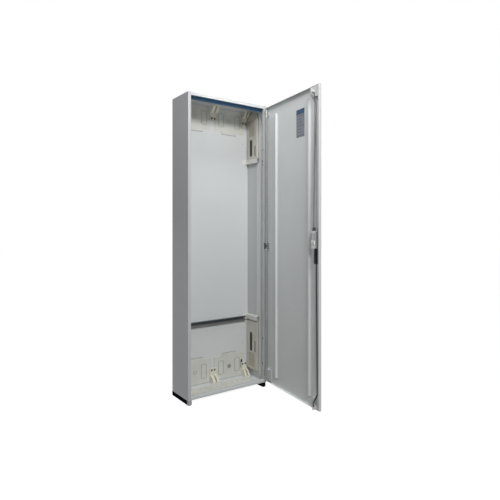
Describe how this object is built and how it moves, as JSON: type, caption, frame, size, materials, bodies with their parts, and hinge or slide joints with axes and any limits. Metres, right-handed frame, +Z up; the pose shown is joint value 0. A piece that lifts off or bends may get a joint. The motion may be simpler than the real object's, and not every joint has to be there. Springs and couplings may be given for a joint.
{
  "type": "electrical distribution cabinet",
  "caption": "Tall shallow floor-standing sheet-steel distribution cabinet, open and empty, with a right-hung door on hinges and a rack-driven rod lock",
  "frame": {"origin": "centre of the cabinet footprint on the floor, which is also the centre of the floor-fixing holes", "axes": "+Z up, the open front faces -Y, the door is hung on the +X side"},
  "size_m": [0.5903, 0.7989, 1.88],
  "materials": {
    "grey_paint": "smooth light grey powder coat",
    "door_paint": "smooth light grey powder coat",
    "stiffener_paint": "smooth light grey powder coat",
    "strut_paint": "smooth light grey powder coat",
    "cream_plastic": "matt cream moulding",
    "holder_plastic": "matt cream moulding",
    "cover_plastic": "matt grey moulding",
    "blue_plastic": "satin blue extrusion",
    "zinc_rail": "zinc plated, slightly bluish",
    "bracket_paint": "smooth light grey powder coat",
    "zinc_hinge": "zinc plated",
    "leaf_paint": "smooth light grey powder coat",
    "zinc_screw": "zinc plated",
    "guide_plastic": "matt light grey moulding",
    "lock_metal": "zinc plated",
    "rack_metal": "plain machined steel",
    "rod_metal": "zinc plated, dull",
    "black_plastic": "matt black moulding",
    "foot_plastic": "matt light grey moulding",
    "insert_metal": "dull die-cast zinc"
  },
  "bodies": {
    "cabinet": {"back_panel": "grey_paint", "bottom_panel": "grey_paint", "floor_entry_plate": "cream_plastic", "foot_cap_left": "foot_plastic", "foot_cap_right": "black_plastic", "foot_runner_left": "black_plastic", "foot_runner_right": "black_plastic", "frame_holder_bottom_centre": "holder_plastic", "frame_holder_bottom_left": "holder_plastic", "frame_holder_bottom_right": "holder_plastic", "frame_holder_top_centre": "holder_plastic", "frame_holder_top_left": "holder_plastic", "frame_holder_top_right": "holder_plastic", "hinge_bracket_bottom": "zinc_hinge", "hinge_bracket_middle": "zinc_hinge", "hinge_bracket_top": "zinc_hinge", "hinge_pins": "zinc_hinge", "lower_cross_rail": "zinc_rail", "rail_bracket_lower_left": "bracket_paint", "rail_bracket_lower_right": "bracket_paint", "rail_bracket_upper_left": "bracket_paint", "rail_bracket_upper_right": "bracket_paint", "rail_screws": "zinc_screw", "rear_entry_plate_bottom_left": "cream_plastic", "rear_entry_plate_bottom_right": "cream_plastic", "rear_entry_plate_top_left": "cream_plastic", "rear_entry_plate_top_right": "cream_plastic", "roof_entry_plate": "cream_plastic", "side_cover_lower_left": "cover_plastic", "side_cover_lower_right": "cover_plastic", "side_cover_upper_left": "cover_plastic", "side_cover_upper_right": "cover_plastic", "side_panel_left": "grey_paint", "side_panel_right": "grey_paint", "top_panel": "grey_paint", "top_strip": "blue_plastic", "wall_strut_left": "strut_paint", "wall_strut_right": "strut_paint"},
    "door": {"door_panel": "door_paint", "door_stiffener_hinge_side": "stiffener_paint", "door_stiffener_lock_side": "stiffener_paint", "rod_guide_top": "guide_plastic", "rod_guide_bottom": "guide_plastic", "lock_case": "lock_metal", "lock_cover": "lock_metal", "lock_escutcheon": "insert_metal", "hinge_cover_bottom": "guide_plastic", "hinge_leaf_bottom": "leaf_paint", "hinge_leaf_middle": "leaf_paint", "hinge_leaf_top": "leaf_paint", "hinge_leaf_screws": "zinc_screw"},
    "lock_barrel": {"lock_spindle": "lock_metal", "lock_pinion": "lock_metal", "key_insert": "insert_metal"},
    "upper_rod_set": {"upper_rack": "rack_metal", "upper_rod": "rod_metal"},
    "lower_rod_set": {"lower_rack": "rack_metal", "lower_coupling_sleeve": "black_plastic", "lower_rod": "rod_metal"}
  },
  "joints": [
    {"name": "door_swing", "type": "hinge", "parent": "cabinet", "child": "door", "pos_m": [0.287, -0.117, 0.955], "axis": [0, 0, 1], "range_deg": [-83, 27]},
    {"name": "lock_turn", "type": "hinge", "parent": "door", "child": "lock_barrel", "pos_m": [0.22119, -0.65297, 0.98], "axis": [0.9925, -0.1219, 0], "range_deg": [0, 90]},
    {"name": "upper_rod_lift", "type": "slide", "parent": "door", "child": "upper_rod_set", "axis": [0, 0, 1], "range_m": [0, 0.01178]},
    {"name": "lower_rod_drop", "type": "slide", "parent": "door", "child": "lower_rod_set", "axis": [0, 0, -1], "range_m": [0, 0.0118]}
  ],
  "couplings": [
    {"joint": "lock_turn", "follows": "upper_rod_lift", "rad_per_m": 133.33},
    {"joint": "lower_rod_drop", "follows": "upper_rod_lift", "ratio": 1}
  ]
}
